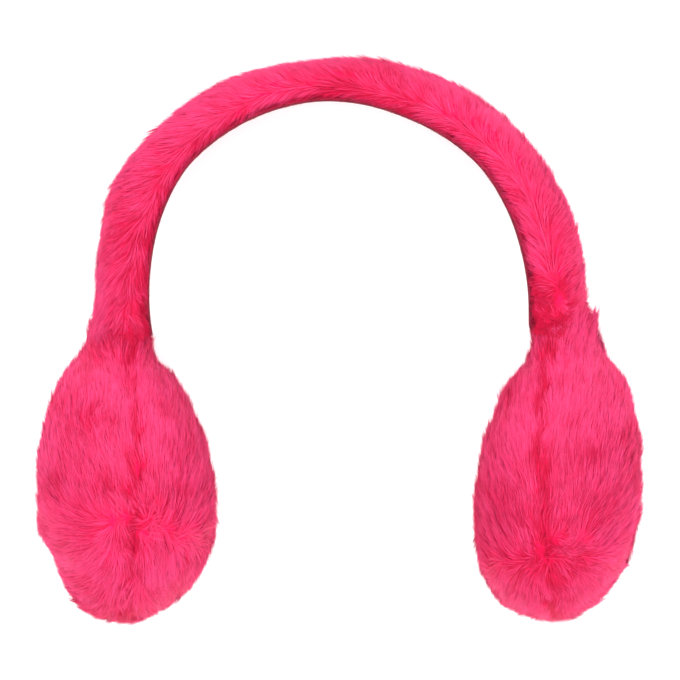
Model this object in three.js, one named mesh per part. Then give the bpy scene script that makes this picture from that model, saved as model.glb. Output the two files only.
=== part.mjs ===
// Fur earmuffs: a padded fur headband sleeve with a smooth lining on its inner face, and two round
// fur ear pads, each sewn from an outer and an inner half that meet at a seam round the rim.
//
// Millimetres. The pieces are drawn as the earmuffs are worn: X across the head, Z up, Y from front
// (negative) to back, with Z = 0 at the middle of the headband's arc. The last step lays them down
// as they rest on a table: on their back, with both pads' rims and the crown of the band on Z = 0,
// and the origin at the middle of the bounding box's base.
import * as THREE from "three";

// ---- driving dimensions (mm) ----
const BAND_DEPTH = 38; // front to back of the fur sleeve at the crown
const BAND_END_DEPTH = 33; // and where it meets a pad
const LEFT_END_Z = -15.2; // the level at which the sleeve ends and the left pad begins
const RIGHT_END_Z = -12.6; // and the right pad
const LINING_WIDTH = 25; // the smooth strip on the inner face
const LINING_THICK = 1.5;
const GAP = 0.3; // clearance between neighbouring pieces

const PAD_RADIUS = 51; // a pad seen from the side, over the fur
const PAD_CENTRE_Z = -72.4;
const PAD_NECK_HALF_DEPTH = 16; // the gathered neck under the band's end
const SEAM_GROOVE = 3.2; // how far the pile dips where the two halves are sewn together
const SEAM_GROOVE_WIDTH = 7;
const PRESSED = 1.6; // how far the pile is pressed flat where it rests

const BAND_STATIONS = 50;
const BAND_POINTS = 20;
const LINING_POINTS = 4;
const PAD_LEVELS = 24;
const PAD_POINTS = 16;

const FUR_PINK = 0xf73d74;
const LINING_PINK = 0xb3123f;

// ---- tables ----
// The headband: at each angle round its arc (0 at +X, 90 at the crown), the radii of its inner
// face, over the lining, and of the outer surface of the fur.
const BAND = [
  { angle: 0, inner: 70.6, outer: 92.4 },
  { angle: 14, inner: 69.9, outer: 92.6 },
  { angle: 28, inner: 70.3, outer: 91.6 },
  { angle: 42, inner: 71.1, outer: 91.0 },
  { angle: 56, inner: 70.9, outer: 90.6 },
  { angle: 70, inner: 70.9, outer: 89.6 },
  { angle: 84, inner: 72.0, outer: 89.5 },
  { angle: 98, inner: 73.1, outer: 88.5 },
  { angle: 112, inner: 73.6, outer: 90.4 },
  { angle: 126, inner: 74.2, outer: 92.1 },
  { angle: 140, inner: 74.6, outer: 93.1 },
  { angle: 154, inner: 73.3, outer: 94.9 },
  { angle: 168, inner: 72.0, outer: 92.2 },
  { angle: 180, inner: 71.6, outer: 92.0 },
];
const BAND_RIGHT_END = { inner: 72.4, outer: 97.0 };
const BAND_LEFT_END = { inner: 71.8, outer: 95.0 };

// A pad by level: where its seam lies across the head, counted outwards from the middle, and how
// far the outer and the inner half stand out from the seam.
const LEFT_PAD = [
  { z: LEFT_END_Z - GAP, seam: 79.5, outer: 14.3, inner: 9.2 },
  { z: -21.0, seam: 78.8, outer: 17.8, inner: 9.6 },
  { z: -28.0, seam: 78.0, outer: 24.4, inner: 14.2 },
  { z: -35.0, seam: 76.9, outer: 29.6, inner: 18.0 },
  { z: -44.0, seam: 74.9, outer: 35.0, inner: 19.8 },
  { z: -53.0, seam: 74.0, outer: 37.8, inner: 23.9 },
  { z: -62.0, seam: 73.9, outer: 39.7, inner: 25.0 },
  { z: -71.0, seam: 74.3, outer: 39.6, inner: 28.3 },
  { z: -80.0, seam: 75.0, outer: 38.2, inner: 28.7 },
  { z: -89.0, seam: 75.8, outer: 36.6, inner: 28.9 },
  { z: -98.0, seam: 76.4, outer: 30.8, inner: 27.2 },
  { z: -107.0, seam: 77.4, outer: 26.9, inner: 23.2 },
  { z: -115.0, seam: 78.8, outer: 20.6, inner: 16.4 },
  { z: -121.0, seam: 79.9, outer: 12.6, inner: 7.8 },
  { z: -123.4, seam: 80.6, outer: 4.2, inner: 3.4 },
];
const RIGHT_PAD = [
  { z: RIGHT_END_Z - GAP, seam: 78.4, outer: 17.8, inner: 6.8 },
  { z: -20.0, seam: 77.4, outer: 20.6, inner: 7.0 },
  { z: -28.0, seam: 76.2, outer: 28.4, inner: 9.6 },
  { z: -35.0, seam: 75.4, outer: 33.6, inner: 14.3 },
  { z: -44.0, seam: 74.4, outer: 35.8, inner: 15.9 },
  { z: -53.0, seam: 73.7, outer: 39.7, inner: 19.7 },
  { z: -62.0, seam: 73.8, outer: 38.5, inner: 21.1 },
  { z: -71.0, seam: 74.1, outer: 39.5, inner: 23.1 },
  { z: -80.0, seam: 75.0, outer: 37.9, inner: 25.4 },
  { z: -89.0, seam: 76.1, outer: 34.9, inner: 25.6 },
  { z: -98.0, seam: 77.2, outer: 31.1, inner: 26.2 },
  { z: -107.0, seam: 78.4, outer: 25.1, inner: 23.8 },
  { z: -115.0, seam: 78.9, outer: 17.6, inner: 18.3 },
  { z: -121.0, seam: 79.3, outer: 8.8, inner: 8.0 },
  { z: -122.8, seam: 79.5, outer: 3.6, inner: 3.2 },
];

// ---- helpers ----
const lerp = (a, b, t) => a + (b - a) * t;
const smooth = (t) => {
  const c = Math.min(1, Math.max(0, t));
  return c * c * (3 - 2 * c);
};

// A smooth curve through a table: the value of column `name` where column `key` is `at`.
function look(rows, key, name, at) {
  const rising = rows[rows.length - 1][key] > rows[0][key] ? 1 : -1;
  let i = 0;
  while (i < rows.length - 2 && (at - rows[i + 1][key]) * rising > 0) i++;
  const slope = (k) => {
    const a = rows[Math.max(0, k - 1)];
    const b = rows[Math.min(rows.length - 1, k + 1)];
    return (b[name] - a[name]) / (b[key] - a[key]);
  };
  const a = rows[i];
  const b = rows[i + 1];
  const h = b[key] - a[key];
  const t = Math.min(1, Math.max(0, (at - a[key]) / h));
  return (
    a[name] * (2 * t ** 3 - 3 * t ** 2 + 1) +
    b[name] * (3 * t ** 2 - 2 * t ** 3) +
    slope(i) * h * (t ** 3 - 2 * t ** 2 + t) +
    slope(i + 1) * h * (t ** 3 - t ** 2)
  );
}

// A closed solid through rings of points, all with the same count, closed by a strip across each
// end from the ring's first and last points to its middle.
function loft(rings) {
  const count = rings[0].length;
  const positions = [];
  const index = [];
  for (const ring of rings) for (const p of ring) positions.push(p.x, p.y, p.z);
  const at = (i, j) => i * count + (j % count);
  for (let i = 0; i + 1 < rings.length; i++)
    for (let j = 0; j < count; j++)
      index.push(
        at(i, j), at(i + 1, j), at(i + 1, j + 1),
        at(i, j), at(i + 1, j + 1), at(i, j + 1),
      );
  const end = rings.length - 1;
  for (let lo = 0, hi = count - 1; hi - lo >= 2; lo++, hi--) {
    index.push(at(0, lo), at(0, lo + 1), at(0, hi));
    index.push(at(end, lo + 1), at(end, lo), at(end, hi));
    if (hi - 1 > lo + 1) {
      index.push(at(0, lo + 1), at(0, hi - 1), at(0, hi));
      index.push(at(end, hi - 1), at(end, lo + 1), at(end, hi));
    }
  }
  const g = new THREE.BufferGeometry();
  g.setAttribute("position", new THREE.Float32BufferAttribute(positions, 3));
  g.setIndex(index);
  if (signedVolume(g) < 0)
    for (let i = 0; i < index.length; i += 3)
      [index[i + 1], index[i + 2]] = [index[i + 2], index[i + 1]];
  g.setIndex(index);
  g.computeVertexNormals();
  return g;
}

function signedVolume(g) {
  const [a, b, c] = [new THREE.Vector3(), new THREE.Vector3(), new THREE.Vector3()];
  const p = g.getAttribute("position");
  let six = 0;
  for (let i = 0; i < g.index.count; i += 3) {
    a.fromBufferAttribute(p, g.index.getX(i));
    b.fromBufferAttribute(p, g.index.getX(i + 1));
    c.fromBufferAttribute(p, g.index.getX(i + 2));
    six += a.dot(b.cross(c));
  }
  return six / 6;
}

// ---- the headband ----
// Radii and depth at a share of the way round, from the right end (0) to the left end (1). Near
// each end the section turns until it lies level, so that it sits flat on the pad's neck.
const NARROWS = 55; // degrees over which the sleeve narrows towards a pad
const END_ANGLE = 10; // how far below level the arc runs on at each end
function bandAt(share) {
  const angle = lerp(-END_ANGLE, 180 + END_ANGLE, share);
  const rows = [
    { angle: -END_ANGLE, ...BAND_RIGHT_END },
    ...BAND,
    { angle: 180 + END_ANGLE, ...BAND_LEFT_END },
  ];
  const fromEnd = Math.min(angle, 180 - angle) + END_ANGLE;
  const over = Math.max(0, -angle, angle - 180) / END_ANGLE; // 1 at an end
  const endZ = angle < 90 ? RIGHT_END_Z : LEFT_END_Z;
  return {
    inner: look(rows, "angle", "inner", angle),
    outer: look(rows, "angle", "outer", angle),
    halfDepth: lerp(BAND_END_DEPTH, BAND_DEPTH, smooth(fromEnd / NARROWS)) / 2,
    place(r, y) {
      const below = Math.asin(endZ / r);
      const level = angle < 90 ? below : Math.PI - below;
      const a = lerp(THREE.MathUtils.degToRad(angle), level, over);
      return new THREE.Vector3(r * Math.cos(a), y, r * Math.sin(a));
    },
  };
}

// The sleeve's section: flat towards the head and domed outwards. turn goes once round it.
function sleevePoint(station, turn) {
  const low = station.inner + LINING_THICK + GAP;
  const half = (station.outer - low) / 2;
  const c = Math.cos(turn);
  const s = Math.sin(turn);
  const bend = c > 0 ? 2.2 : 3.4; // rounder outside, squarer inside
  const r = low + half + half * Math.sign(c) * Math.abs(c) ** (2 / bend);
  const y = station.halfDepth * Math.sign(s) * Math.abs(s) ** (2 / bend);
  return { r, y };
}

// The radius of the sleeve's inner face at a distance y from its middle.
function innerFace(station, y) {
  const low = station.inner + LINING_THICK + GAP;
  const half = (station.outer - low) / 2;
  const share = Math.min(1, Math.abs(y) / station.halfDepth);
  return low + half - half * (1 - share ** 3.4) ** (1 / 3.4);
}

const stations = Array.from({ length: BAND_STATIONS + 1 }, (_, i) => bandAt(i / BAND_STATIONS));

const bandFur = loft(
  stations.map((s) =>
    Array.from({ length: BAND_POINTS }, (_, j) => {
      const { r, y } = sleevePoint(s, ((j + 0.5) / BAND_POINTS) * 2 * Math.PI);
      return s.place(r, y);
    }),
  ),
);

const bandLining = loft(
  stations.map((s) => {
    const across = Array.from(
      { length: LINING_POINTS + 1 },
      (_, j) => (j / LINING_POINTS - 0.5) * LINING_WIDTH,
    );
    const top = across.map((y) => s.place(innerFace(s, y) - GAP, y));
    const under = across.map((y) => s.place(innerFace(s, y) - GAP - LINING_THICK, y));
    return [...top, ...under.reverse()];
  }),
);

// ---- the pads ----
// Half a pad's depth at a level: a circle from the side that runs up into a neck under the band.
function padHalfDepth(z) {
  const circle = Math.sqrt(Math.max(16, PAD_RADIUS ** 2 - (z - PAD_CENTRE_Z) ** 2));
  const neck = z > PAD_CENTRE_Z ? PAD_NECK_HALF_DEPTH : 0;
  return (circle ** 4 + neck ** 4) ** 0.25;
}

// One half: side is +1 or -1 along X from the seam, bulge is the table's column.
function padHalf(table, padSide, column) {
  const side = column === "outer" ? padSide : -padSide;
  const top = table[0].z;
  const bottom = table[table.length - 1].z;
  const rings = [];
  for (let i = 0; i <= PAD_LEVELS; i++) {
    const t = i / PAD_LEVELS;
    // Levels lie closer together near the bottom, where the pad rounds off.
    const z = lerp(top, bottom, Math.sin((t * Math.PI) / 2) * 0.5 + t * 0.5);
    const seam = padSide * look(table, "z", "seam", z);
    const bulge = look(table, "z", column, z);
    const depth = padHalfDepth(z);
    const ring = [];
    for (let j = 0; j <= PAD_POINTS; j++) {
      // Points lie closer together near the seam, where the pile rolls over into the groove.
      const u = lerp(-1, 1, j / PAD_POINTS);
      const turn = (Math.PI / 2) * Math.sign(u) * (1 - (1 - Math.abs(u)) ** 1.5);
      const out = bulge * Math.max(0, Math.cos(turn)) ** 0.86;
      const dip = SEAM_GROOVE * Math.min(1, depth / 30) * (1 - smooth(out / SEAM_GROOVE_WIDTH));
      const y = Math.sign(turn) * Math.abs(Math.sin(turn)) ** 0.9 * (depth - dip);
      ring.push(new THREE.Vector3(seam + side * (GAP / 2 + out), y, z));
    }
    rings.push(ring);
  }
  return loft(rings);
}

// ---- the assembly, as worn ----
const fur = (name) =>
  new THREE.MeshStandardMaterial({ name, color: FUR_PINK, roughness: 0.9, metalness: 0 });
const lining = new THREE.MeshStandardMaterial({
  name: "lining",
  color: LINING_PINK,
  roughness: 0.8,
  metalness: 0,
});

function piece(name, geometry, material) {
  const mesh = new THREE.Mesh(geometry, material);
  mesh.name = name;
  return mesh;
}

const headband = new THREE.Group();
headband.add(piece("band_fur", bandFur, fur("band")), piece("band_lining", bandLining, lining));

const leftPad = new THREE.Group();
leftPad.add(
  piece("left_pad_outer", padHalf(LEFT_PAD, -1, "outer"), fur("pad")),
  piece("left_pad_inner", padHalf(LEFT_PAD, -1, "inner"), fur("pad")),
);

const rightPad = new THREE.Group();
rightPad.add(
  piece("right_pad_outer", padHalf(RIGHT_PAD, 1, "outer"), fur("pad")),
  piece("right_pad_inner", padHalf(RIGHT_PAD, 1, "inner"), fur("pad")),
);

const worn = new THREE.Group();
worn.add(headband, leftPad, rightPad);

// ---- laid down ----
// On its back, the earmuffs lean until the crown of the band touches the table too.
function lowest(objects, lean) {
  const turn = new THREE.Matrix4().makeRotationX(-Math.PI / 2 - lean);
  const p = new THREE.Vector3();
  let low = Infinity;
  for (const o of objects) {
    const at = o.geometry.getAttribute("position");
    for (let i = 0; i < at.count; i++)
      low = Math.min(low, p.fromBufferAttribute(at, i).applyMatrix4(turn).z);
  }
  return low;
}
let [flat, steep] = [0, Math.PI / 6];
for (let i = 0; i < 40; i++) {
  const lean = (flat + steep) / 2;
  const pads = lowest([...leftPad.children, ...rightPad.children], lean);
  if (lowest([headband.children[0]], lean) > pads) flat = lean;
  else steep = lean;
}
const LEAN = (flat + steep) / 2;
const floor = lowest([headband.children[0]], LEAN) + PRESSED;

// The pile is pressed flat on the table: every point below it comes up to it.
const turn = new THREE.Matrix4().makeRotationX(-Math.PI / 2 - LEAN);
const back = turn.clone().invert();
for (const group of [headband, leftPad, rightPad])
  for (const mesh of group.children) {
    const at = mesh.geometry.getAttribute("position");
    const p = new THREE.Vector3();
    for (let i = 0; i < at.count; i++) {
      p.fromBufferAttribute(at, i).applyMatrix4(turn);
      if (p.z < floor) {
        p.z = floor;
        p.applyMatrix4(back);
        at.setXYZ(i, p.x, p.y, p.z);
      }
    }
    mesh.geometry.computeVertexNormals();
  }

worn.rotation.x = -Math.PI / 2 - LEAN;
const earmuffs = new THREE.Group();
earmuffs.add(worn);
earmuffs.updateMatrixWorld(true);
const box = new THREE.Box3().setFromObject(earmuffs, true);
worn.position.set(-(box.min.x + box.max.x) / 2, -(box.min.y + box.max.y) / 2, -box.min.z);

export default earmuffs;
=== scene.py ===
"""Pink fur earmuffs lying on their back: plush pile on the headband and both pads, and the
headband's smooth lining. Shapes are drawn as the earmuffs are worn, in millimetres (X across the
head, Z up, Y from front to back), and laid down into the frame's metres at the end."""

import math

import bpy
import numpy as np
from mathutils import Matrix, Vector
from mathutils.kdtree import KDTree


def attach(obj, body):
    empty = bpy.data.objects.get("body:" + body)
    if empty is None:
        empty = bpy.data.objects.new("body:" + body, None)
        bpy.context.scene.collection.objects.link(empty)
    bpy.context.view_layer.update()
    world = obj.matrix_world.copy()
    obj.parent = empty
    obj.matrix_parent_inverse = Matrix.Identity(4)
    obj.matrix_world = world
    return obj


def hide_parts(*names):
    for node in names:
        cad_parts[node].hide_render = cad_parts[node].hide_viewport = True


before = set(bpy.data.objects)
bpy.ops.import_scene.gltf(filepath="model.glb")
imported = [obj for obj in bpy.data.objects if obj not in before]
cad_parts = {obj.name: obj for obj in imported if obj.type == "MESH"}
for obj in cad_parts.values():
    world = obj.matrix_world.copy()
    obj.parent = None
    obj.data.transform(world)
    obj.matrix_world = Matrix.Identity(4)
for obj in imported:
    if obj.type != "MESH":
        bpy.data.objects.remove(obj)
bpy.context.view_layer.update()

# ------------------------------------------------------------------ sizes, as in the CAD (mm)
BAND_DEPTH, BAND_END_DEPTH = 38.0, 33.0
LEFT_END_Z, RIGHT_END_Z = -15.2, -12.6
LINING_WIDTH, LINING_THICK, GAP = 25.0, 1.5, 0.3
PAD_RADIUS, PAD_CENTRE_Z, PAD_NECK_HALF_DEPTH = 51.0, -72.4, 17.4
SEAM_GROOVE, SEAM_GROOVE_WIDTH = 3.2, 7.0
NARROWS, END_ANGLE = 55.0, 10.0
LEAN = math.radians(11.837471)
LAID_AT = (0.1817, 16.6006, 33.8143)

# angle round the arc, inner radius, outer radius
BAND = np.array(
    [
        (-10.0, 72.4, 97.0), (0, 70.6, 92.4), (14, 69.9, 92.6), (28, 70.3, 91.6), (42, 71.1, 91.0),
        (56, 70.9, 90.6), (70, 70.9, 89.6), (84, 72.0, 89.5), (98, 73.1, 88.5), (112, 73.6, 90.4),
        (126, 74.2, 92.1), (140, 74.6, 93.1), (154, 73.3, 94.9), (168, 72.0, 92.2), (180, 71.6, 92.0),
        (190.0, 71.8, 95.0),
    ]
)
# level, seam's place across the head, how far the outer and the inner half stand out
LEFT_PAD = np.array(
    [
        (-15.5, 79.5, 14.3, 9.5), (-21, 78.8, 17.8, 9.5), (-25, 78.4, 21.4, 10.8), (-28, 78.0, 24.4, 13.6),
        (-35, 76.9, 29.6, 18.0), (-44, 74.9, 35.0, 19.8), (-53, 74.0, 37.8, 23.9),
        (-62, 73.9, 39.7, 25.0), (-71, 74.3, 39.6, 28.3), (-80, 75.0, 38.2, 28.7),
        (-89, 75.8, 36.6, 28.9), (-98, 76.4, 30.8, 27.2), (-107, 77.4, 26.9, 23.2),
        (-115, 78.8, 20.6, 16.4), (-121, 79.9, 12.6, 7.8), (-123.4, 80.6, 4.2, 3.4),
    ]
)
RIGHT_PAD = np.array(
    [
        (-12.9, 78.4, 17.8, 6.8), (-20, 77.4, 20.6, 6.9), (-25.5, 76.6, 25.4, 6.9), (-28, 76.2, 28.4, 9.2),
        (-35, 75.4, 33.6, 14.3), (-44, 74.4, 35.8, 15.9), (-53, 73.7, 39.7, 19.7),
        (-62, 73.8, 38.5, 21.1), (-71, 74.1, 39.5, 23.1), (-80, 75.0, 37.9, 25.4),
        (-89, 76.1, 34.9, 25.6), (-98, 77.2, 31.1, 26.2), (-107, 78.4, 25.1, 23.8),
        (-115, 78.9, 17.6, 18.3), (-121, 79.3, 8.8, 8.0), (-122.8, 79.5, 3.6, 3.2),
    ]
)

# ------------------------------------------------------------------ the pile (mm)
NECK_ON = 6.0  # a pad's neck runs on this far into the end of the headband
PILE_DEEP = 2.7  # from the outer form down to a fibre tuft's root
SKIN_DEEP = 2.4  # and down to the cloth and its underfur
END_SPREAD = 1.4  # how far the pile spreads beyond each side of the headband's ends
TUFTS = {"band": 90000, "pad": 104000}  # slender pointed tufts, each a few fibres stuck together
TUFT_WIDE = 0.40  # across a tuft's root


# ------------------------------------------------------------------ helpers
def unit(v):
    return v / np.maximum(np.linalg.norm(v, axis=-1, keepdims=True), 1e-9)


def dot(a, b):
    return np.sum(a * b, axis=-1)


def smooth(t):
    t = np.clip(t, 0, 1)
    return t * t * (3 - 2 * t)


def table(rows, column):
    """A smooth curve through a table's column, against its first one."""
    order = np.argsort(rows[:, 0])
    xs, ys = rows[order, 0], rows[order, column]
    last = len(xs) - 1
    lo, hi = np.maximum(np.arange(last + 1) - 1, 0), np.minimum(np.arange(last + 1) + 1, last)
    slopes = (ys[hi] - ys[lo]) / (xs[hi] - xs[lo])

    def at(x):
        x = np.clip(x, xs[0], xs[-1])
        i = np.clip(np.searchsorted(xs, x, side="right") - 1, 0, last - 1)
        h = xs[i + 1] - xs[i]
        t = (x - xs[i]) / h
        return (
            ys[i] * (2 * t**3 - 3 * t**2 + 1)
            + ys[i + 1] * (3 * t**2 - 2 * t**3)
            + slopes[i] * h * (t**3 - 2 * t**2 + t)
            + slopes[i + 1] * h * (t**3 - t**2)
        )

    return at


def noise(p, size, seed):
    """Smooth noise from -1 to 1 in space, with lumps of about that size."""
    q = np.asarray(p) / size + 1000.0
    i = np.floor(q).astype(np.int64)
    f = q - i
    f = f * f * (3 - 2 * f)
    total = np.zeros(len(q))
    for a in (0, 1):
        for b in (0, 1):
            for c in (0, 1):
                n = (
                    (i[:, 0] + a) * 374761393
                    + (i[:, 1] + b) * 668265263
                    + (i[:, 2] + c) * 1442695041
                    + seed * 974634777
                ) & 0xFFFFFFFF
                n = ((n ^ (n >> 13)) * 1274126177) & 0xFFFFFFFF
                n = ((n ^ (n >> 15)) * 2246822519) & 0xFFFFFFFF
                v = ((n ^ (n >> 16)) & 0xFFFF) / 32767.5 - 1
                w = (
                    (f[:, 0] if a else 1 - f[:, 0])
                    * (f[:, 1] if b else 1 - f[:, 1])
                    * (f[:, 2] if c else 1 - f[:, 2])
                )
                total += v * w
    return total * 1.5


def tangle(p, size, seed):
    """A direction that wanders in space."""
    return np.stack([noise(p, size, seed + k) for k in range(3)], -1)


def laid(p):
    """Worn millimetres to the frame's metres."""
    p = np.asarray(p, float)
    a = -math.pi / 2 - LEAN
    c, s = math.cos(a), math.sin(a)
    out = np.empty_like(p)
    out[..., 0] = p[..., 0] + LAID_AT[0]
    out[..., 1] = p[..., 1] * c - p[..., 2] * s + LAID_AT[1]
    out[..., 2] = p[..., 1] * s + p[..., 2] * c + LAID_AT[2]
    return out / 1000.0


def laid_direction(p):
    p = np.asarray(p, float)
    a = -math.pi / 2 - LEAN
    c, s = math.cos(a), math.sin(a)
    return np.stack([p[..., 0], p[..., 1] * c - p[..., 2] * s, p[..., 1] * s + p[..., 2] * c], -1)


# ------------------------------------------------------------------ shapes as maps
class Shape:
    """A closed form given by its distance from a spine or centre, on a grid u by v; v goes round."""

    def measure(self, most, rounds):
        """Finds the form's edge in every direction, and rounds it off as the pile does."""
        lo = np.zeros((len(self.grid_u), len(self.grid_v)))
        hi = np.full_like(lo, most)
        for _ in range(26):
            rho = (lo + hi) / 2
            inside = self.holds(self.place(self.grid_u[:, None], self.grid_v[None, :], rho))
            lo, hi = np.where(inside, rho, lo), np.where(inside, hi, rho)
        rho = (lo + hi) / 2
        for _ in range(rounds):
            rho = (np.roll(rho, 1, 1) + 2 * rho + np.roll(rho, -1, 1)) / 4
            rho[1:-1] = (rho[:-2] + 2 * rho[1:-1] + rho[2:]) / 4
        self.rho = rho

    def settle(self):
        self.points = self.place(self.grid_u[:, None], self.grid_v[None, :], self.rho)
        p = self.points
        du = np.empty_like(p)
        du[1:-1] = p[2:] - p[:-2]
        du[0], du[-1] = p[1] - p[0], p[-1] - p[-2]
        dv = np.roll(p, -1, 1) - np.roll(p, 1, 1)
        n = unit(np.cross(du, dv))
        out = unit(p - self.core(p))
        n = np.where(dot(n, out)[..., None] < 0, -n, n)
        weak = dot(n, out) < 0.12  # where the grid runs together
        n[weak] = out[weak]
        self.normals = n

    def look(self, p):
        """For each point: how far it is outside the form, the normal there, and u and v."""
        u, v, rho = self.locate(p)
        fu = (u - self.grid_u[0]) / (self.grid_u[1] - self.grid_u[0])
        fu = np.clip(fu, 0, len(self.grid_u) - 1.001)
        nv = len(self.grid_v)
        fv = (v - self.grid_v[0]) / (2 * np.pi) * nv % nv
        i, j = fu.astype(int), fv.astype(int) % nv
        a, b = fu - i, fv - np.floor(fv)
        j2 = (j + 1) % nv
        w = ((1 - a) * (1 - b), (1 - a) * b, a * (1 - b), a * b)
        at = ((i, j), (i, j2), (i + 1, j), (i + 1, j2))
        r = sum(k * self.rho[x] for k, x in zip(w, at))
        n = unit(sum(k[:, None] * self.normals[x] for k, x in zip(w, at)))
        away = unit(p - self.core(p))
        return (rho - r) * np.clip(dot(n, away), 0.25, 1), n, u, v

    def scatter(self, count, rng):
        """Points spread evenly over the form."""
        p = self.points
        a, b = p[:-1], p[1:]
        a2, b2 = np.roll(a, -1, 1), np.roll(b, -1, 1)
        area = np.linalg.norm(np.cross(b - a, a2 - a), axis=-1) / 2
        area += np.linalg.norm(np.cross(b2 - b, b2 - a2), axis=-1) / 2
        edges = np.concatenate([[0], np.cumsum(area.ravel())])
        where = (np.arange(count) + rng.random(count)) / count * edges[-1]
        cell = np.clip(np.searchsorted(edges, where, side="right") - 1, 0, area.size - 1)
        i, j = np.divmod(cell, area.shape[1])
        s, t = rng.random((2, count, 1))
        j2 = (j + 1) % area.shape[1]
        return (
            p[i, j] * (1 - s) * (1 - t)
            + p[i + 1, j] * s * (1 - t)
            + p[i, j2] * (1 - s) * t
            + p[i + 1, j2] * s * t
        ), edges[-1]


class Band(Shape):
    inner, outer = staticmethod(table(BAND, 1)), staticmethod(table(BAND, 2))

    def __init__(self):
        self.grid_u = np.linspace(-11.5, 191.5, 407)
        self.grid_v = np.arange(160) / 160 * 2 * np.pi
        low = self.inner(self.grid_u) + LINING_THICK + GAP
        half = (self.outer(self.grid_u) - low) / 2
        self.mid = lambda u: np.interp(u, self.grid_u, low + half)
        self.half = lambda u: np.interp(u, self.grid_u, half)
        self.measure(26.0, 1)
        self.settle()

    def holds(self, p):
        """Flat towards the head, where the pile on either side swells as far as the lining."""
        u = self.angle(p)
        c, y = np.hypot(p[..., 0], p[..., 2]) - self.mid(u), np.abs(p[..., 1])
        full = LINING_THICK + GAP + 0.3 + 0.7 * (1 - smooth((np.minimum(u, 180 - u) + 5) / 25))
        swell = full * smooth((y - LINING_WIDTH / 2 + 0.3) / 0.8)
        half = self.half(u) + np.where(c < 0, swell, 0)
        bend = np.where(c > 0, 2.2, 8.0)
        return np.abs(c / half) ** bend + np.abs(y / self.half_depth(u)) ** bend < 1

    def half_depth(self, u):
        from_end = np.minimum(u, 180 - u) + END_ANGLE
        wide = (BAND_END_DEPTH + (BAND_DEPTH - BAND_END_DEPTH) * smooth(from_end / NARROWS)) / 2
        return wide + END_SPREAD * (1 - smooth(from_end / NARROWS))

    def place(self, u, v, rho):
        u, v, rho = np.broadcast_arrays(u, v, rho)
        r = self.mid(u) + rho * np.cos(v)
        a = np.radians(u)
        return np.stack([r * np.cos(a), rho * np.sin(v), r * np.sin(a)], -1)

    @staticmethod
    def angle(p):
        a = np.degrees(np.arctan2(p[..., 2], p[..., 0]))
        return np.where(a < -90, a + 360, a)

    def core(self, p):
        u = self.angle(p)
        a = np.radians(u)
        r = self.mid(u)
        return np.stack([r * np.cos(a), 0 * r, r * np.sin(a)], -1)

    def locate(self, p):
        u = self.angle(p)
        r = np.hypot(p[..., 0], p[..., 2]) - self.mid(u)
        return u, np.arctan2(p[..., 1], r) % (2 * np.pi), np.hypot(r, p[..., 1])


class Pad(Shape):
    """Mapped from a centre below MIDDLE, and from an upright line above it, up into the neck."""

    MIDDLE, TURN = -72.0, 50.0

    def __init__(self, rows, side):
        self.side = side
        self.seam, self.out, self.inn = table(rows, 1), table(rows, 2), table(rows, 3)
        self.top, self.bottom = rows[0, 0], rows[-1, 0]
        self.quarter = self.TURN * math.pi / 2
        self.grid_u = np.linspace(0.3, self.quarter + self.top + NECK_ON - self.MIDDLE, 201)
        self.grid_v = np.arange(300) / 300 * 2 * np.pi
        self.measure(80.0, 4)
        self.settle()

    def half_depth(self, z):
        circle = np.sqrt(np.maximum(16, PAD_RADIUS**2 - (z - PAD_CENTRE_Z) ** 2))
        neck = np.where(z > PAD_CENTRE_Z, PAD_NECK_HALF_DEPTH, 0)
        return (circle**4 + neck**4) ** 0.25

    def outward(self, p):
        """How far a point lies outwards of the seam, across the head."""
        return self.side * p[..., 0] - self.seam(p[..., 2])

    def holds(self, p):
        z = p[..., 2]
        out = self.outward(p)
        bulge = np.where(out > 0, self.out(z), self.inn(z))
        depth = self.half_depth(z)
        dip = 0.55 * SEAM_GROOVE * np.minimum(1, depth / 30) * (1 - smooth(np.abs(out) / SEAM_GROOVE_WIDTH))
        c, s = np.abs(out) / bulge, np.abs(p[..., 1]) / (depth - dip)
        return (z > self.bottom) & (c ** (2 / 0.86) + s ** (2 / 0.9) < 1)

    def line(self, z):
        z = np.maximum(z, self.MIDDLE)
        x = self.side * (self.seam(z) + (self.out(z) - self.inn(z)) / 2)
        return np.stack([x, 0 * z, z], -1)

    def place(self, u, v, rho):
        u, v, rho = np.broadcast_arrays(u, v, rho)
        a = np.minimum(u, self.quarter) / self.TURN
        d = np.stack([np.sin(a) * np.cos(v), np.sin(a) * np.sin(v), -np.cos(a)], -1)
        return self.line(self.MIDDLE + np.maximum(u - self.quarter, 0)) + rho[..., None] * d

    def core(self, p):
        return self.line(p[..., 2])

    def locate(self, p):
        q = p - self.core(p)
        rise = np.maximum(p[..., 2] - self.MIDDLE, 0)
        flat = np.hypot(q[..., 0], q[..., 1])
        u = np.where(rise > 0, self.quarter + rise, self.TURN * np.arctan2(flat, -q[..., 2]))
        return u, np.arctan2(q[..., 1], q[..., 0]) % (2 * np.pi), np.linalg.norm(q, axis=-1)


band = Band()
pads = {-1: Pad(LEFT_PAD, -1), 1: Pad(RIGHT_PAD, 1)}


# ------------------------------------------------------------------ the lie of the pile
def slant(p):
    """How far a point lies above the slanting edge where the right pad's own pile stops."""
    return p[:, 2] + 7.1 + (91.1 - p[:, 0]) * 0.89


def dull_end(p, u, c):
    """1 in the short mottled pile at the band's right end."""
    dull = np.where(u < 90, smooth((slant(p) + 2) / 4) * smooth((14 - p[:, 2]) / 14), 0)
    return dull * smooth((0.8 - c) / 0.5)


def top_edge(side, p):
    """The level where the tips of a pad's pile stop, over the band's end."""
    if side > 0:
        edge = np.clip(p[:, 2] - slant(p), -12.0, -7.5)
    else:
        edge = -14.6 + 3.8 * smooth((-84 - p[:, 0]) / 5)
    return edge + 1.0 * noise(p, 5, 71)


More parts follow.
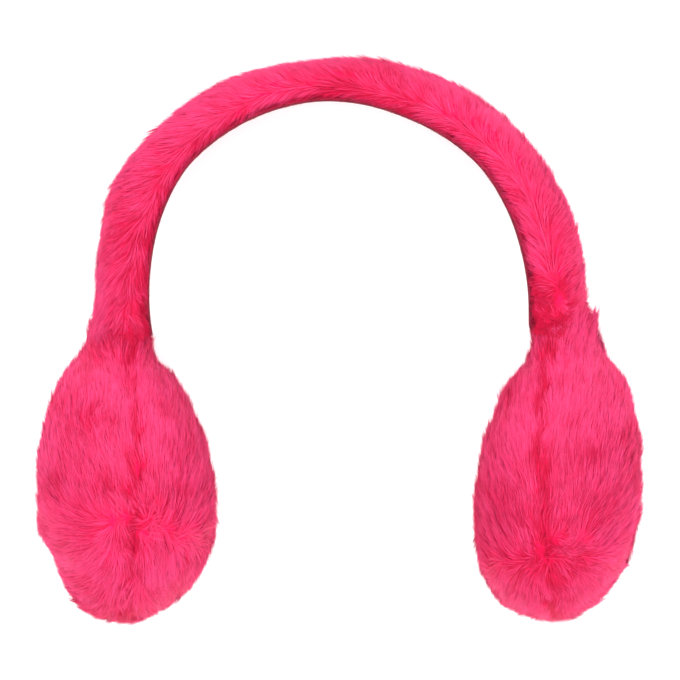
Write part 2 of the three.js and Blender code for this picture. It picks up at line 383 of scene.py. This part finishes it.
def band_nap(p, n, u, v):
    """The band is one strip whose pile leans towards the left pad. It is brushed outwards over
    the top, and inwards on the inner side of a parting that wanders along each face."""
    a = np.radians(u)
    out = np.stack([np.cos(a), 0 * a, np.sin(a)], -1)
    along = np.stack([-np.sin(a), 0 * a, np.cos(a)], -1)
    c = np.hypot(p[:, 0], p[:, 2]) - band.mid(u)
    c = c / band.half(u)
    parting = -0.62 + 0.6 * smooth((75 - u) / 60) + 0.16 * smooth((u - 150) / 30)
    parting = parting + 0.16 * noise(p, 24, 3)
    across = np.tanh((c - parting) / 0.28)
    across = np.where(across < 0, across * 0.75, across * 0.95)
    lean = 0.62 + 0.3 * noise(p, 30, 5)
    mess = dull_end(p, u, c) * 1.1 + 0.7 * smooth((u - 163) / 12) * smooth((0.3 - c) / 0.5)
    return out * across[:, None] + along * lean[:, None] + tangle(p, 3.6, 61) * mess[:, None]


SWIRLS = {  # where the pile turns on each pad's rim: across the head, front or back, and level
    -1: [(-74.6, -44.0, -85.0), (-77.0, 45.0, -60.0)],
    1: [(78.0, -42.0, -97.0), (75.0, 45.0, -66.0)],
}
SWEEP = {-1: 1.2, 1: 0.3}  # how strongly each pad's lower outer side is brushed outwards


def pad_nap(side):
    """Away from a swirl low on each face: up to the neck, down to the rim, outwards beside it."""
    pad = pads[side]
    front, back = SWIRLS[side][0][2], SWIRLS[side][1][2]

    def nap(p, n, u, v):
        out, z = pad.outward(p), p[:, 2]
        level = (front + back) / 2 + (back - front) / 2 * np.tanh(p[:, 1] / 20)
        level = level - 9 * smooth((-out - 5) / 16)
        rise = z - level - 4 * noise(p, 14, 35) - 4.5 * noise(p, 4.5, 36)
        # straight up and down as seen from the front or the back
        upright = np.stack([0 * z, -n[:, 1] * n[:, 2], n[:, 1] ** 2 + 0.3], -1)
        d = upright * np.tanh(rise / 5)[:, None]
        fan = 0.10 + 0.4 * np.exp(-((rise / 7) ** 2)) + 0.35 * smooth(-rise / 18)
        brushed = SWEEP[side] * smooth((-74 - z) / 16) * smooth((out - 3) / 14)
        d[:, 0] += side * (out / 34 * fan + brushed)
        near = np.exp(-((out / 8.0) ** 2)) * smooth((-19 - z) / 12)
        d[:, 0] += side * np.tanh(out / 3.0) * 0.22 * near
        d[:, 0] += near * (0.25 + 0.45 * smooth((-66 - z) / 34)) * noise(p, 4.5, 31)
        parted = np.exp(-((rise / 9) ** 2)) * smooth((out + 12) / 16)
        mess = 0.7 * swirled(side, p) + 0.8 * patched(side, p) + 0.35 * parted
        mess = mess * (1 - 0.8 * smooth((np.abs(out) - 20) / 8))
        return d + tangle(p, 3.2, 65) * mess[:, None]

    return nap


def swirled(side, p):
    """1 where the pile turns on a pad's rim, fading to 0 around it."""
    far = [np.linalg.norm(p - np.array(q), axis=1) for q in SWIRLS[side]]
    return np.exp(-((np.min(far, axis=0) / 10.0) ** 2))


def patched(side, p):
    """1 in a ruffled patch high on the left pad's outer side, on both its faces."""
    far = np.hypot((p[:, 0] + 92) / 8, (p[:, 2] + 50) / 10)
    return np.exp(-(far**2)) * (side < 0)


def turned(d, n, angle):
    c, s = np.cos(angle)[:, None], np.sin(angle)[:, None]
    return d * c + np.cross(n, d) * s


def comb(shape, roots, nap, shade, rng, seed, long, lock_of, pull, trim):
    """Grows a tuft from every place on the form: it rises out of the cloth and lies over along the
    nap. Neighbours lean together in locks. Returns roots, tips, normals at both, and a tone."""
    count = len(roots)
    _, n, u, v = shape.look(roots)
    d = nap(roots, n, u, v)
    d = d - n * dot(d, n)[:, None]
    strength = np.linalg.norm(d, axis=1)
    d = unit(d)
    tint, low, thin, stand = shade(roots, u, v)

    # locks: the nearest of a sparse set of the tufts
    leaders = rng.permutation(count)[: max(8, int(count / lock_of))]
    tree = KDTree(len(leaders))
    for k, i in enumerate(leaders):
        tree.insert(Vector(roots[i]), k)
    tree.balance()
    uneven = roots + 1.1 * np.stack([noise(roots, 2.6, seed + k) for k in (11, 12, 13)], -1)
    lock = np.array([tree.find(Vector(q))[1] for q in uneven])
    lead = leaders[lock]

    per_lock = rng.normal(size=(len(leaders), 4))[lock]
    own = rng.normal(size=(count, 5))
    swing = (
        0.17 * noise(roots, 16, seed + 1)
        + 0.15 * noise(roots, 6, seed + 2)
        + 0.07 * per_lock[:, 0]
        + 0.11 * own[:, 0]
    )
    d = turned(d, n, swing)
    body = 1 + 0.12 * noise(roots, 20, seed + 4) + 0.10 * noise(roots, 8, seed + 5)
    forward = smooth(np.sign(n[:, 1]) * d[:, 1] / 0.6)
    stray = rng.random(count) < 0.05
    proud = (rng.random(len(leaders)) < 0.13)[lock]
    length = long * thin * body * (1 + 0.06 * per_lock[:, 1] + 0.12 * own[:, 1])
    length = length * (1 + 0.4 * forward)
    length = np.clip(length, long * 0.35, long * 1.5)
    # where the nap points out of the form, as along an edge, the tufts stand up more
    lift = np.radians(19) * (1 - 0.35 * forward) + np.radians(6) * noise(roots, 11, seed + 6)
    lift += np.radians(9) * stray + np.radians(7) * proud
    lift += np.radians(5) * per_lock[:, 2] + np.radians(4) * own[:, 2]
    lift += np.radians(14) * (1 - smooth(strength / 0.4))
    lift += (np.radians(58) - lift) * stand
    cap = trim - low + 0.35 * noise(roots, 6, seed + 9) + 0.6 * per_lock[:, 3] + 0.35 * own[:, 3]
    cap += 1.1 * stray + 0.75 * proud
    top = PILE_DEEP + np.clip(cap, -1.5, 2.3)
    rise = np.clip(length * np.sin(np.clip(lift, 0.1, 1.3)), 0.85 * top, top)
    rise = np.maximum(rise, 0.8)
    slope = np.clip(lift * (0.55 + 0.35 * stand), 0.08, 1.3)
    length = np.clip(length, rise * 1.05, rise / np.sin(slope))
    run = np.sqrt(np.maximum(length**2 - rise**2, 0.5))

    # along the form, then out to the tip
    p, n1 = roots.copy(), n
    for _ in range(3):
        p = p + d * (run / 3)[:, None]
        gap, n1, _, _ = shape.look(p)
        p = p - n1 * gap[:, None]
        d = unit(d - n1 * dot(d, n1)[:, None])
    root = roots - n * PILE_DEEP
    tip = p + n1 * (rise - PILE_DEEP)[:, None]

    # tips draw together
    aim = root + (tip[lead] - root[lead]) + (root[lead] - root) * 0.38
    keen = np.clip((pull + 0.3 * proud) * (1 + 0.35 * own[:, 4]) * (1 - stray), 0, 0.9)[:, None]
    tip = tip + (aim - tip) * keen

    tone = (
        0.5
        + tint
        + 0.08 * per_lock[:, 0]
        + 0.21 * own[:, 3]
        + 0.11 * noise(roots, 5, seed + 7)
        + 0.12 * noise(roots, 22, seed + 8)
    )
    return root, tip, n, n1, np.clip(tone, 0.03, 0.97)


# ------------------------------------------------------------------ meshes
def mesh_object(name, verts, quads=None, tris=None, normals=None):
    """verts in metres; quads and tris are index arrays."""
    me = bpy.data.meshes.new(name)
    verts = np.ascontiguousarray(verts, np.float32)
    parts, starts, at = [], [], 0
    for block in (quads, tris):
        if block is not None and len(block):
            k = block.shape[1]
            parts.append(block.ravel())
            starts.append(at + np.arange(len(block)) * k)
            at += block.size
    loops, starts = np.concatenate(parts).astype(np.int32), np.concatenate(starts).astype(np.int32)
    me.vertices.add(len(verts))
    me.vertices.foreach_set("co", verts.ravel())
    me.loops.add(len(loops))
    me.loops.foreach_set("vertex_index", loops)
    me.polygons.add(len(starts))
    me.polygons.foreach_set("loop_start", starts)
    me.update(calc_edges=True)
    me.polygons.foreach_set("use_smooth", np.ones(len(starts), bool))
    if normals is not None:
        me.normals_split_custom_set_from_vertices(np.ascontiguousarray(normals, np.float32))
    o = bpy.data.objects.new(name, me)
    bpy.context.scene.collection.objects.link(o)
    return o


def pile_object(name, fur, which, wide, rng):
    """Slender three-sided points from root to tip, rounded by their normals. Each corner carries
    the tuft's tone and how far along it lies."""
    root, tip, n0, n1, tone = (x[which] for x in fur)
    count = len(root)
    axis = unit(tip - root)
    side = unit(np.cross(axis, n0))
    back = np.cross(side, axis)
    roll = rng.uniform(-0.6, 0.6, count)[:, None]
    side, back = side * np.cos(roll) + back * np.sin(roll), back * np.cos(roll) - side * np.sin(roll)
    w = wide * rng.uniform(0.7, 1.35, count)[:, None]
    corners = [root - side * w * 0.5, root + back * w * 0.45, root + side * w * 0.5, tip]
    verts = np.stack(corners, 1)
    jitter = rng.normal(size=(count, 3)) * 0.10
    up0, up1 = n0 * 0.9 + jitter, n1 * 0.95 + jitter
    rows = np.stack([up0 - side * 0.5, up0, up0 + side * 0.5, up1], 1)
    metres = laid(verts)
    low = metres[..., 2]
    metres[..., 2] = np.where(low < 0.0012, 0.0002 + 0.001 * np.exp((low - 0.0012) / 0.0012), low)
    base = (np.arange(count) * 4)[:, None, None]
    tris = (base + np.array([[0, 1, 3], [1, 2, 3], [2, 0, 3]])).reshape(-1, 3)
    normals = unit(laid_direction(rows)).reshape(-1, 3)
    o = mesh_object(name, metres.reshape(-1, 3), None, tris, normals)
    spread = 0.03
    t = np.stack([tone - spread, tone, tone + spread, tone], 1)
    s = np.broadcast_to(np.array([0.03, 0.06, 0.03, 0.98]), (count, 4))
    me = o.data
    for key, values in (("tone", t), ("along", s)):
        layer = me.attributes.new(key, "FLOAT", "POINT")
        layer.data.foreach_set("value", np.ascontiguousarray(values, np.float32).ravel())
    loops = np.empty(len(me.loops), np.int32)
    me.loops.foreach_get("vertex_index", loops)
    uv = me.uv_layers.new(name="OFBake")
    both = np.stack([t.ravel(), s.ravel()], -1)[loops]
    uv.uv.foreach_set("vector", np.ascontiguousarray(both, np.float32).ravel())
    return o


def skin_object(name, shape, deep, keep=None, cut=None):
    """The cloth and underfur beneath the pile, as a closed mesh."""
    step_u, step_v = max(1, len(shape.grid_u) // 66), max(1, len(shape.grid_v) // 60)
    us = np.unique(np.append(np.arange(0, len(shape.grid_u), step_u), len(shape.grid_u) - 1))
    vs = np.arange(0, len(shape.grid_v), step_v)
    p = shape.points[us][:, vs] - shape.normals[us][:, vs] * deep
    if cut is not None:
        p = cut(p)
    rows, cols = p.shape[:2]
    i, j = np.meshgrid(np.arange(rows - 1), np.arange(cols), indexing="ij")
    i, j = i.ravel(), j.ravel()
    j2 = (j + 1) % cols
    quads = np.stack([i * cols + j, (i + 1) * cols + j, (i + 1) * cols + j2, i * cols + j2], -1)
    verts = np.concatenate([p.reshape(-1, 3), p[0].mean(0)[None], p[-1].mean(0)[None]])
    k = np.arange(cols)
    k2 = (k + 1) % cols
    first, last = rows * cols, rows * cols + 1
    tris = np.concatenate(
        [
            np.stack([np.full(cols, first), k, k2], -1),
            np.stack([np.full(cols, last), (rows - 1) * cols + k2, (rows - 1) * cols + k], -1),
        ]
    )
    v = verts
    a, b, c = v[quads[:, 0]], v[quads[:, 1]], v[quads[:, 2]]
    if dot(a - shape.core(a), np.cross(b - a, c - a)).sum() < 0:
        quads, tris = quads[:, ::-1], tris[:, ::-1]
    metres = laid(verts)
    metres[:, 2] = np.maximum(metres[:, 2], 0.0015)
    return mesh_object(name, metres, quads, tris)


# ------------------------------------------------------------------ materials
def material(name):
    m = bpy.data.materials.new(name)
    m.use_nodes = True
    nodes, links = m.node_tree.nodes, m.node_tree.links
    bsdf = nodes["Principled BSDF"]
    return m, nodes, links, bsdf


def ramp_node(nodes, stops):
    r = nodes.new("ShaderNodeValToRGB")
    r.color_ramp.interpolation = "B_SPLINE" if len(stops) > 2 else "LINEAR"
    while len(r.color_ramp.elements) > 1:
        r.color_ramp.elements.remove(r.color_ramp.elements[-1])
    for k, (at, colour) in enumerate(stops):
        e = r.color_ramp.elements[0] if k == 0 else r.color_ramp.elements.new(at)
        e.position, e.color = at, (*colour, 1)
    return r


def pile_material(name, dark, light):
    """Deeper at the roots, a painted shade of the pile's depth, and between a deep and a light colour by
    each tuft's tone, which also carries painted light and shade.
    """
    m, nodes, links, bsdf = material(name)
    along = nodes.new("ShaderNodeAttribute")
    along.attribute_name = "along"
    tone = nodes.new("ShaderNodeAttribute")
    tone.attribute_name = "tone"
    curve = nodes.new("ShaderNodeMapRange")
    curve.inputs["From Min"].default_value = 0.10
    curve.inputs["From Max"].default_value = 0.86
    links.new(tone.outputs["Fac"], curve.inputs["Value"])
    shift = nodes.new("ShaderNodeMix")
    shift.data_type = "RGBA"
    links.new(curve.outputs["Result"], shift.inputs["Factor"])
    # painted shade: each ramp darkens from the tips down to the roots
    for colours, socket in ((dark, "A"), (light, "B")):
        ramp = ramp_node(nodes, list(zip((0.0, 0.4, 1.0), colours)))
        links.new(along.outputs["Fac"], ramp.inputs[0])
        links.new(ramp.outputs["Color"], shift.inputs[socket])
    links.new(shift.outputs["Result"], bsdf.inputs["Base Color"])
    bsdf.inputs["Roughness"].default_value = 0.55
    bsdf.inputs["Specular IOR Level"].default_value = 0.1
    bsdf.inputs["Sheen Weight"].default_value = 0.03
    bsdf.inputs["Sheen Roughness"].default_value = 0.4
    bsdf.inputs["Sheen Tint"].default_value = (1.0, 0.45, 0.65, 1)
    return m


def underfur_material(name, dark, light):
    m, nodes, links, bsdf = material(name)
    where = nodes.new("ShaderNodeTexCoord")
    fine = nodes.new("ShaderNodeTexNoise")
    fine.inputs["Scale"].default_value = 900.0
    fine.inputs["Detail"].default_value = 3.0
    links.new(where.outputs["Object"], fine.inputs["Vector"])
    patch = nodes.new("ShaderNodeTexNoise")
    patch.inputs["Scale"].default_value = 90.0
    links.new(where.outputs["Object"], patch.inputs["Vector"])
    both = nodes.new("ShaderNodeMath")
    both.operation = "MULTIPLY_ADD"
    both.inputs[1].default_value = 0.5
    links.new(fine.outputs["Fac"], both.inputs[0])
    half = nodes.new("ShaderNodeMath")
    half.operation = "MULTIPLY"
    half.inputs[1].default_value = 0.5
    links.new(patch.outputs["Fac"], half.inputs[0])
    links.new(half.outputs["Value"], both.inputs[2])
    ramp = ramp_node(nodes, [(0.35, dark), (0.68, light)])
    links.new(both.outputs["Value"], ramp.inputs[0])
    links.new(ramp.outputs["Color"], bsdf.inputs["Base Color"])
    bump = nodes.new("ShaderNodeBump")
    bump.inputs["Strength"].default_value = 0.6
    bump.inputs["Distance"].default_value = 0.0006
    links.new(fine.outputs["Fac"], bump.inputs["Height"])
    links.new(bump.outputs["Normal"], bsdf.inputs["Normal"])
    bsdf.inputs["Roughness"].default_value = 0.9
    bsdf.inputs["Specular IOR Level"].default_value = 0.1
    return m


PILE = pile_material(
    "plush_pile",
    dark=((0.60, 0.003, 0.038), (0.65, 0.005, 0.050), (0.70, 0.008, 0.064)),
    light=((0.96, 0.018, 0.125), (0.98, 0.040, 0.180), (0.99, 0.085, 0.270)),
)
UNDERFUR = underfur_material("underfur", (0.80, 0.006, 0.070), (0.90, 0.012, 0.105))

# ------------------------------------------------------------------ build the fur
rng = np.random.default_rng(7)


def band_shade(p, u, v):
    """Tone, with painted light and shade in it, how much lower the pile lies, and its share of the full
    length.
    """
    c = (np.hypot(p[:, 0], p[:, 2]) - band.mid(u)) / band.half(u)
    from_end = np.minimum(u, 180 - u)
    to_pad = (from_end + END_ANGLE) * 1.4  # mm
    neck = smooth((9 - from_end) / 16)
    # painted light and shade: the pile is lighter towards the outer edge and darker towards the inner edge,
    # where the band turns from the light
    tint = 0.15 * c - 0.22 * smooth((-0.40 - c) / 0.5) - 0.3 * smooth((-0.88 - c) / 0.12)
    # painted shade near each end, where the band meets its pad
    tint = tint - 0.24 * neck * smooth((0.6 - c) / 0.9)
    crease = smooth((4.0 - to_pad) / 3) * smooth((0.75 - c) / 0.5)
    # painted shade in the crease where the band's end meets its pad
    tint = tint - 0.55 * crease
    # short, mottled and deeper in colour at the right end, inwards of a slanting edge
    dull = dull_end(p, u, c)
    tint = tint - dull * (0.10 + 0.30 * noise(p, 3.6, 51) + 0.2 * noise(p, 1.7, 52))
    # a fuller lobe of pile on the outer side, where each end meets its pad
    low = 0.7 * crease - 0.7 * smooth((1 - from_end) / 6) * smooth((c - 0.1) / 0.5)
    short = np.where(u > 90, 0.3 * smooth((9 - to_pad) / 9), 0.35 * dull) * smooth((0.75 - c) / 0.5)
    # the pile stands up where no pile lies over it
    stand = np.where(u < 90, 0.9 * smooth((8 - to_pad) / 6) + 0.3 * dull, 0)
    return tint, low, 1 - 0.2 * smooth((-0.6 - c) / 0.4) - 0.1 * neck - short, stand


def band_fur():
    roots, area = band.scatter(int(TUFTS["band"] * 1.36), rng)
    gap, n, u, v = band.look(roots)
    r = np.hypot(roots[:, 0], roots[:, 2])
    inner = band.mid(u) - band.half(u)
    on_lining = (r - inner < 2.0) & (np.abs(roots[:, 1]) < LINING_WIDTH / 2 + 0.6)
    # nor where the right pad's pile lies over the band's end
    under_pad = (slant(roots) < -1) & (roots[:, 0] > 84) & (roots[:, 2] < -10)
    roots = roots[~on_lining & ~under_pad]
    root, tip, n0, n1, tone = comb(band, roots, band_nap, band_shade, rng, 100, 8.8, 18, 0.34, -0.1)
    # the lining keeps the pile back: nothing hangs into the opening
    for p in (root, tip):
        r = np.hypot(p[:, 0], p[:, 2])
        inner = band.inner(band.angle(p))
        floor = inner - 0.15 + 0.3 * rng.random(len(p))
        push = np.where(r < floor, floor / np.maximum(r, 1e-6), 1.0)
        p[:, 0] *= push
        p[:, 2] *= push
        y, edge = p[:, 1], LINING_WIDTH / 2 + 0.1 + 0.3 * rng.random(len(p))
        beside = (r < inner + LINING_THICK + GAP) & (np.abs(y) < edge)
        p[:, 1] = np.where(beside, np.where(y < 0, -edge, edge), y)
    fur = (root, tip, n0, n1, tone)
    half = len(root) // 2
    pieces = []
    order = np.argsort(-band.angle(roots))
    for name, part in (("band_pile_left", order[:half]), ("band_pile_right", order[half:])):
        pieces.append(pile_object(name, fur, part, TUFT_WIDE, rng))
    return pieces, area, len(root)


def pad_shade(side):
    pad = pads[side]

    def shade(p, u, v):
        """The seam is a soft valley: deeper in colour by painted shade, with shorter pile, and wavering."""
        out, z = pad.outward(p), p[:, 2]
        near = out + 1.8 * noise(p, 12, 41) + 0.9 * noise(p, 4, 42)
        rim = smooth((np.abs(p[:, 1]) / pad.half_depth(z) - 0.5) / 0.3)
        along = smooth((pad.top - 1 - z) / 5) * (0.85 + 0.35 * noise(p, 9, 43))
        along = along * (1 - 0.45 * smooth((-74 - z) / 8) * smooth((z + 108) / 8))
        valley = np.exp(-((near / 1.8) ** 2)) * rim * along
        crease = smooth((z - pad.top + 6.0) / 2.5) * smooth((9 - out) / 8) * (side < 0)
        neck = smooth((z + 30) / 12)
        # painted light on each pad's upper part; painted shade in the seam's valley and in the crease under
        # the left end of the band
        tint = 0.10 * smooth((z + 75) / 30) - 0.65 * valley - 0.25 * crease
        # painted shade on the inner side of the neck
        tint = tint - 0.12 * neck * smooth((4 - out) / 8)
        tint = tint - 0.15 * smooth((noise(p, 11, 47) - 0.2) / 0.5)
        turn, patch = swirled(side, p), patched(side, p)
        tint = tint - turn * (0.05 + 0.22 * noise(p, 2.4, 53))
        tint = tint - patch * (0.22 + 0.3 * noise(p, 2.8, 54))
        # drawn in where the neck opens out on the inner side
        drawn = smooth((-16 - z) / 3) * smooth((z + 33) / 5) * smooth((1 - out) / 6)
        low = 0.8 * valley - 0.4 * neck * smooth((out - 4) / 6) + 0.9 * drawn
        thin = 1 - 0.25 * valley - 0.35 * turn - 0.3 * patch - 0.25 * drawn
        thin = thin * np.clip((top_edge(side, p) - z + 1.5) / 9, 0.3, 1)
        if side > 0:
            dull = smooth((slant(p) + 1) / 4)
            tint = tint - dull * (0.16 + 0.30 * noise(p, 3.6, 51))
        return tint, low, thin, 0.15 * turn

    return shade


def pad_fur(side, word):
    pad = pads[side]
    roots, area = pad.scatter(TUFTS["pad"], rng)
    roots = roots[roots[:, 2] < top_edge(side, roots) - 3]
    nap, shade = pad_nap(side), pad_shade(side)
    fur = comb(pad, roots, nap, shade, rng, 300 + side * 50, 9.2, 18, 0.32, -0.15)
    outer = pad.outward(roots) > 0
    return [
        pile_object(f"{word}_pad_outer_pile", fur, outer, TUFT_WIDE, rng),
        pile_object(f"{word}_pad_inner_pile", fur, ~outer, TUFT_WIDE, rng),
    ], area, len(roots)


counts = {}
band_piles, area, many = band_fur()
counts["band"] = (area, many)
for o in band_piles:
    o.data.materials.append(PILE)
    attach(o, "root")

pad_piles = []
for side, word in ((-1, "left"), (1, "right")):
    made, area, many = pad_fur(side, word)
    counts[word] = (area, many)
    for o in made:
        o.data.materials.append(PILE)
        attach(o, "root")
    pad_piles += made


def band_cut(p):
    """The sleeve stops level, at the top of each pad."""
    p = p.copy()
    end = np.where(p[..., 0] > 0, RIGHT_END_Z, LEFT_END_Z)
    p[..., 2] = np.maximum(p[..., 2], end + 0.05)
    return p


band_skin = skin_object("band_sleeve", band, SKIN_DEEP, cut=band_cut)
band_skin.data.materials.append(UNDERFUR)
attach(band_skin, "root")
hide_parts("band_fur")

for side, word in ((-1, "left"), (1, "right")):
    pad = pads[side]
    for part, sign in (("outer", 1), ("inner", -1)):

        def cut(p, pad=pad, side=side, sign=sign):
            """Keeps one half: what lies beyond the seam is drawn back to it."""
            out = pad.outward(p)
            over = np.minimum(out * sign - 0.15, 0)
            p = p.copy()
            p[..., 0] -= side * sign * over
            p[..., 2] = np.minimum(p[..., 2], pad.top - 0.05)
            return p

        skin = skin_object(f"{word}_pad_{part}_skin", pad, SKIN_DEEP, cut=cut)
        skin.data.materials.append(UNDERFUR)
        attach(skin, "root")
        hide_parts(f"{word}_pad_{part}")


# ------------------------------------------------------------------ the lining
def lining():
    us = np.linspace(-END_ANGLE, 180 + END_ANGLE, 201)
    across = np.linspace(-1, 1, 13)
    # a soft strip: thickest in its middle, its long edges turned under
    thick = LINING_THICK * (1 - 0.55 * np.abs(across) ** 6)
    top = [(y * (LINING_WIDTH / 2 - 0.4), GAP + 0.02) for y in across]
    under = [(y * LINING_WIDTH / 2, GAP + t) for y, t in zip(across[::-1], thick[::-1])]
    section = np.array(top + under)
    verts = []
    for u in us:
        over = max(0.0, -u, u - 180) / END_ANGLE
        sag = 0.25 * np.abs(section[:, 0] / (LINING_WIDTH / 2)) ** 3
        low = band.inner(np.full(len(section), u)) + LINING_THICK + GAP
        r = low + sag - section[:, 1]
        end_z = RIGHT_END_Z if u < 90 else LEFT_END_Z
        below = np.arcsin(end_z / r)
        level = below if u < 90 else math.pi - below
        a = math.radians(u) * (1 - over) + level * over
        verts.append(np.stack([r * np.cos(a), section[:, 0], r * np.sin(a)], -1))
    verts = np.array(verts)
    rows, cols = verts.shape[:2]
    i, j = np.meshgrid(np.arange(rows - 1), np.arange(cols), indexing="ij")
    i, j = i.ravel(), j.ravel()
    j2 = (j + 1) % cols
    quads = np.stack([i * cols + j, i * cols + j2, (i + 1) * cols + j2, (i + 1) * cols + j], -1)
    caps = []
    for row, flip in ((0, False), (rows - 1, True)):
        for k in range(12):
            q = [row * cols + k, row * cols + 25 - k, row * cols + 24 - k, row * cols + k + 1]
            caps.append(q[::-1] if flip else q)
    quads = np.concatenate([quads, np.array(caps)])
    flat = verts.reshape(-1, 3)
    a, b, c, d = (flat[quads[:, k]] for k in range(4))
    if (dot(a, np.cross(b, c)) + dot(a, np.cross(c, d))).sum() < 0:
        quads = quads[:, ::-1]
    o = mesh_object("band_lining_strip", laid(flat), quads)
    uv = o.data.uv_layers.new(name="Cloth")
    loops = np.empty(len(o.data.loops), np.int32)
    o.data.loops.foreach_get("vertex_index", loops)
    run = np.repeat(np.radians(us) * 71.5, cols)
    wide = np.tile(section[:, 0], rows)
    uv.uv.foreach_set("vector", np.stack([run, wide], -1)[loops].astype(np.float32).ravel())
    return o


def lining_material():
    """A close tricot knit: fine wales along the band, with a turned edge and a line of stitches."""
    m, nodes, links, bsdf = material("lining_knit")
    uv = nodes.new("ShaderNodeUVMap")
    uv.uv_map = "Cloth"
    split = nodes.new("ShaderNodeSeparateXYZ")
    links.new(uv.outputs["UV"], split.inputs["Vector"])

    def maths(op, a, b=None, c=None):
        node = nodes.new("ShaderNodeMath")
        node.operation = op
        for k, value in enumerate((a, b, c)):
            if value is None:
                continue
            if isinstance(value, (int, float)):
                node.inputs[k].default_value = value
            else:
                links.new(value, node.inputs[k])
        return node.outputs["Value"]

    x, y = split.outputs["X"], split.outputs["Y"]
    wales = maths("SINE", maths("MULTIPLY", y, 2 * math.pi / 0.9))
    zig = maths("MULTIPLY", maths("PINGPONG", y, 0.45), 1.0)
    courses = maths("SINE", maths("MULTIPLY", maths("ADD", x, zig), 2 * math.pi / 0.75))
    knit = maths("MULTIPLY_ADD", wales, 0.55, maths("MULTIPLY", courses, 0.45))
    edge = maths("ABSOLUTE", y)
    sewn = maths("COMPARE", edge, LINING_WIDTH / 2 - 2.0, 0.35)
    dashes = maths("LESS_THAN", maths("PINGPONG", x, 1.4), 1.05)
    stitch = maths("MULTIPLY", sewn, dashes)
    groove = maths("COMPARE", edge, LINING_WIDTH / 2 - 2.0, 0.8)
    height = maths("ADD", maths("MULTIPLY", knit, 0.22), maths("MULTIPLY", stitch, 1.3))
    height = maths("SUBTRACT", height, maths("MULTIPLY", groove, 0.9))
    bump = nodes.new("ShaderNodeBump")
    bump.inputs["Strength"].default_value = 0.8
    bump.inputs["Distance"].default_value = 0.00035
    links.new(height, bump.inputs["Height"])
    links.new(bump.outputs["Normal"], bsdf.inputs["Normal"])
    cloudy = nodes.new("ShaderNodeTexNoise")
    cloudy.inputs["Scale"].default_value = 0.12
    cloudy.inputs["Detail"].default_value = 4.0
    links.new(uv.outputs["UV"], cloudy.inputs["Vector"])
    # painted shade: the colour is darker between the knit's ridges and in the groove inside the stitches
    factor = maths("ADD", maths("MULTIPLY", knit, 0.16), cloudy.outputs["Fac"])
    factor = maths("SUBTRACT", factor, maths("MULTIPLY", groove, 0.18))
    factor = maths("ADD", factor, maths("MULTIPLY", stitch, 0.35))
    # a deep crimson, partly the lining's own colour and partly painted shade, darkened to the shadowed line
    # it shows at the band's inner edge
    ramp = ramp_node(nodes, [(0.25, (0.13, 0.002, 0.014)), (0.75, (0.28, 0.006, 0.036))])
    links.new(factor, ramp.inputs[0])
    links.new(ramp.outputs["Color"], bsdf.inputs["Base Color"])
    bsdf.inputs["Roughness"].default_value = 0.82
    bsdf.inputs["Specular IOR Level"].default_value = 0.06
    bsdf.inputs["Sheen Weight"].default_value = 0.01
    bsdf.inputs["Sheen Roughness"].default_value = 0.5
    bsdf.inputs["Sheen Tint"].default_value = (1.0, 0.3, 0.45, 1)
    return m


strip = lining()
strip.data.materials.append(lining_material())
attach(strip, "root")
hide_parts("band_lining")

# ------------------------------------------------------------------ floor, light, camera
floor = mesh_object(
    "floor",
    np.array([(-3, -3, 0), (3, -3, 0), (3, 3, 0), (-3, 3, 0)], float),
    np.array([[0, 1, 2, 3]]),
)
m, nodes, links, bsdf = material("floor_paper")
bsdf.inputs["Base Color"].default_value = (0.88, 0.88, 0.88, 1)
bsdf.inputs["Roughness"].default_value = 0.9
bsdf.inputs["Specular IOR Level"].default_value = 0.1
bsdf.inputs["Emission Color"].default_value = (1, 1, 1, 1)
bsdf.inputs["Emission Strength"].default_value = 0.24
floor.data.materials.append(m)

scene = bpy.context.scene
scene.view_settings.view_transform = "Standard"
scene.view_settings.look = "None"
world = bpy.data.worlds.new("studio")
world.use_nodes = True
world.node_tree.nodes["Background"].inputs["Color"].default_value = (1, 1, 1, 1)
world.node_tree.nodes["Background"].inputs["Strength"].default_value = 1.47
scene.world = world

towards = Vector(laid_direction(np.array([0.0, -1.0, 0.0])))  # from the object to the camera
up = Vector(laid_direction(np.array([0.0, 0.0, 1.0])))
right = Vector((1, 0, 0))
aim = Vector(laid(np.array([0.0, 0.0, -16.9])))
REACH = 3.6


def lamp(name, direction, distance, size, energy, colour=(1, 1, 1)):
    data = bpy.data.lights.new(name, "AREA")
    data.shape, data.size, data.energy, data.color = "SQUARE", size, energy, colour
    o = bpy.data.objects.new(name, data)
    d = direction.normalized()
    o.location = aim + d * distance
    o.rotation_euler = d.to_track_quat("Z", "Y").to_euler()
    scene.collection.objects.link(o)
    return o


lamp("key", towards + up * 0.45 - right * 0.3, 1.9, 1.5, 15)
lamp("fill", towards * 0.8 - up * 0.5 + right * 0.5, 2.0, 1.6, 9)

data = bpy.data.cameras.new("camera")
data.sensor_width = 36.0
data.lens = 36.0 * REACH / 0.255
data.clip_end = 20
camera = bpy.data.objects.new("camera", data)
camera.matrix_world = Matrix(
    (
        (right.x, up.x, towards.x, aim.x + towards.x * REACH),
        (right.y, up.y, towards.y, aim.y + towards.y * REACH),
        (right.z, up.z, towards.z, aim.z + towards.z * REACH),
        (0, 0, 0, 1),
    )
)
scene.collection.objects.link(camera)
scene.camera = camera

triangles = {
    o.name: len(o.data.loops) - 2 * len(o.data.polygons)
    for o in bpy.data.objects
    if o.type == "MESH" and o.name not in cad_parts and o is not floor
}
print("triangles", triangles, sum(triangles.values()))
print("fur", {k: (round(a), n, round(n / a, 2)) for k, (a, n) in counts.items()})
